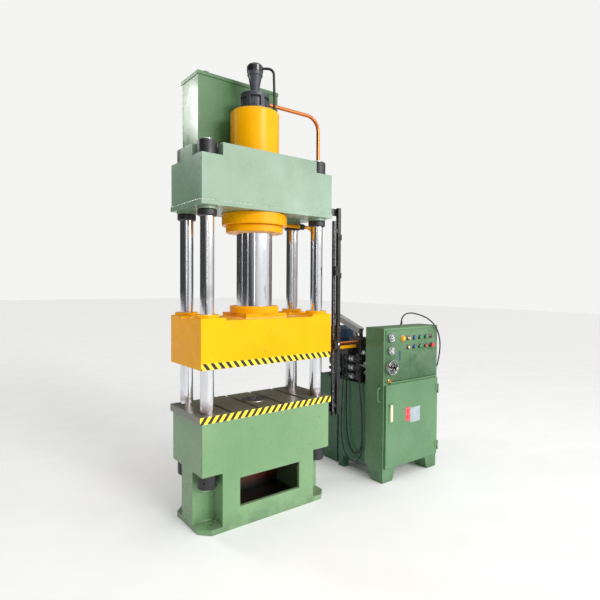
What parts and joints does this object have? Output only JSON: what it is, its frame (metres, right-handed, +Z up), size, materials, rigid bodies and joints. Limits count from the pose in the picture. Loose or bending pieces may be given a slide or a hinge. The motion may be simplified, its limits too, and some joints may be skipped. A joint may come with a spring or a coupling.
{
  "type": "four-column hydraulic press",
  "caption": "Hydraulic press with crown, crosshead and slotted table on round columns, an overhead oil tank, and a power unit with a control cabinet beside it.",
  "frame": {"origin": "on the floor under the middle of the press frame", "axes": "+Z up, +X to the right along the front towards the power unit, +Y towards the back"},
  "size_m": [2.3689, 0.96, 3.25],
  "materials": {
    "frame_green": "gloss machine paint, patchy",
    "table_steel": "planed steel",
    "ground_steel": "ground",
    "hard_chrome": "polished",
    "black_steel": "blackened",
    "yellow_paint": "gloss",
    "valve_iron": "dark painted casting",
    "hose_rubber": "satin",
    "wire_grey": "satin",
    "tank_green": "gloss machine paint",
    "dark_green": "gloss machine paint",
    "bronze_bush": "turned",
    "bright_steel": "turned",
    "pipe_copper": "drawn copper",
    "motor_blue": "cast ribs",
    "duct_grey": "sheet",
    "gauge_steel": "bright case",
    "needle_red": "thin sheet",
    "handle_cream": "moulded",
    "button_blue": "moulded",
    "button_green": "moulded",
    "button_white": "moulded",
    "button_red": "moulded",
    "gauge_glass": "clear",
    "lamp_lens": "moulded lens"
  },
  "bodies": {
    "frame": {"base_frame": "frame_green", "cabinet_handles": "tank_green", "cabinet_shell": "tank_green", "cable_duct": "duct_grey", "cap_screws": "black_steel", "column_collar_nuts": "black_steel", "column_nuts": "black_steel", "columns": "hard_chrome", "copper_pipe": "pipe_copper", "crown": "frame_green", "cylinder_barrel": "yellow_paint", "cylinder_flange": "yellow_paint", "gauge_cases": "gauge_steel", "gland_ring": "yellow_paint", "head_tank": "tank_green", "head_tank_brackets": "tank_green", "head_tank_lid": "tank_green", "limit_rails": "black_steel", "limit_switches": "black_steel", "loop_cable": "hose_rubber", "oil_tank": "dark_green", "oil_tank_covers": "dark_green", "panel_bezels": "bright_steel", "panel_lock": "bronze_bush", "pilot_hose": "hose_rubber", "pipe_unions": "black_steel", "power_cable": "hose_rubber", "prefill_cap": "black_steel", "prefill_valve": "valve_iron", "pump_motor": "motor_blue", "return_pipe": "yellow_paint", "side_reservoir": "dark_green", "signal_lamps": "lamp_lens", "signal_wire": "wire_grey", "table_plate": "table_steel", "table_plug": "ground_steel", "top_cable": "hose_rubber", "valve_block": "valve_iron"},
    "crosshead": {"crosshead": "yellow_paint", "guide_bushes": "bronze_bush", "ram": "hard_chrome", "ram_flange": "bright_steel", "ram_bolts": "black_steel", "trip_cam": "yellow_paint"},
    "limit_lever_lower": {"limit_lever_lower": "black_steel"},
    "limit_lever_upper": {"limit_lever_upper": "black_steel"},
    "cabinet_door": {"cabinet_door": "tank_green"},
    "door_handle": {"door_handle": "handle_cream"},
    "needle_upper": {"needle_upper": "needle_red"},
    "needle_lower": {"needle_lower": "needle_red"},
    "needle_main": {"needle_main": "needle_red"},
    "selector_knob": {"selector_knob": "button_white"},
    "emergency_stop": {"emergency_stop": "button_red"},
    "button_blue_upper": {"button_blue_upper": "button_blue"},
    "button_green_upper": {"button_green_upper": "button_green"},
    "button_green_upper_right": {"button_green_upper_right": "button_green"},
    "button_white_lower": {"button_white_lower": "button_white"},
    "button_blue_lower": {"button_blue_lower": "button_blue"},
    "button_green_lower": {"button_green_lower": "button_green"},
    "button_red_lower": {"button_red_lower": "button_red"}
  },
  "joints": [
    {"name": "crosshead_slide", "type": "slide", "parent": "frame", "child": "crosshead", "axis": [0, 0, 1], "range_m": [-0.25, 0.32]},
    {"name": "limit_lever_lower_turn", "type": "hinge", "parent": "frame", "child": "limit_lever_lower", "pos_m": [0.602, -0.256, 1.202], "axis": [0, 1, 0], "range_deg": [-20, 20], "stiffness_Nm_per_rad": 0.5},
    {"name": "limit_lever_upper_turn", "type": "hinge", "parent": "frame", "child": "limit_lever_upper", "pos_m": [0.602, -0.256, 1.772], "axis": [0, 1, 0], "range_deg": [-20, 20], "stiffness_Nm_per_rad": 0.5},
    {"name": "cabinet_door_hinge", "type": "hinge", "parent": "frame", "child": "cabinet_door", "pos_m": [1.746, -0.348, 0.45], "axis": [0, 0, 1], "range_deg": [0, 110]},
    {"name": "door_handle_turn", "type": "hinge", "parent": "cabinet_door", "child": "door_handle", "pos_m": [1.122, -0.3518, 0.648], "axis": [-1, 0, 0], "range_deg": [0, 75]},
    {"name": "needle_upper_turn", "type": "hinge", "parent": "frame", "child": "needle_upper", "pos_m": [1.122, -0.349, 1.214], "axis": [0, 1, 0], "range_deg": [0, 270]},
    {"name": "needle_lower_turn", "type": "hinge", "parent": "frame", "child": "needle_lower", "pos_m": [1.122, -0.349, 1.106], "axis": [0, 1, 0], "range_deg": [0, 270]},
    {"name": "needle_main_turn", "type": "hinge", "parent": "frame", "child": "needle_main", "pos_m": [1.122, -0.365, 0.968], "axis": [0, 1, 0], "range_deg": [0, 270]},
    {"name": "button_blue_upper_press", "type": "slide", "parent": "frame", "child": "button_blue_upper", "axis": [0, 1, 0], "range_m": [0, 0.004], "stiffness_N_per_m": 400, "springref_m": -0.002},
    {"name": "button_green_upper_press", "type": "slide", "parent": "frame", "child": "button_green_upper", "axis": [0, 1, 0], "range_m": [0, 0.004], "stiffness_N_per_m": 400, "springref_m": -0.002},
    {"name": "button_green_upper_right_press", "type": "slide", "parent": "frame", "child": "button_green_upper_right", "axis": [0, 1, 0], "range_m": [0, 0.004], "stiffness_N_per_m": 400, "springref_m": -0.002},
    {"name": "button_white_lower_press", "type": "slide", "parent": "frame", "child": "button_white_lower", "axis": [0, 1, 0], "range_m": [0, 0.004], "stiffness_N_per_m": 400, "springref_m": -0.002},
    {"name": "button_blue_lower_press", "type": "slide", "parent": "frame", "child": "button_blue_lower", "axis": [0, 1, 0], "range_m": [0, 0.004], "stiffness_N_per_m": 400, "springref_m": -0.002},
    {"name": "button_green_lower_press", "type": "slide", "parent": "frame", "child": "button_green_lower", "axis": [0, 1, 0], "range_m": [0, 0.004], "stiffness_N_per_m": 400, "springref_m": -0.002},
    {"name": "button_red_lower_press", "type": "slide", "parent": "frame", "child": "button_red_lower", "axis": [0, 1, 0], "range_m": [0, 0.004], "stiffness_N_per_m": 400, "springref_m": -0.002},
    {"name": "emergency_stop_press", "type": "slide", "parent": "frame", "child": "emergency_stop", "axis": [0, 1, 0], "range_m": [0, 0.004], "stiffness_N_per_m": 400, "springref_m": -0.002},
    {"name": "selector_turn", "type": "hinge", "parent": "frame", "child": "selector_knob", "pos_m": [1.352, -0.33, 1.197], "axis": [0, 1, 0], "range_deg": [-45, 45]}
  ]
}
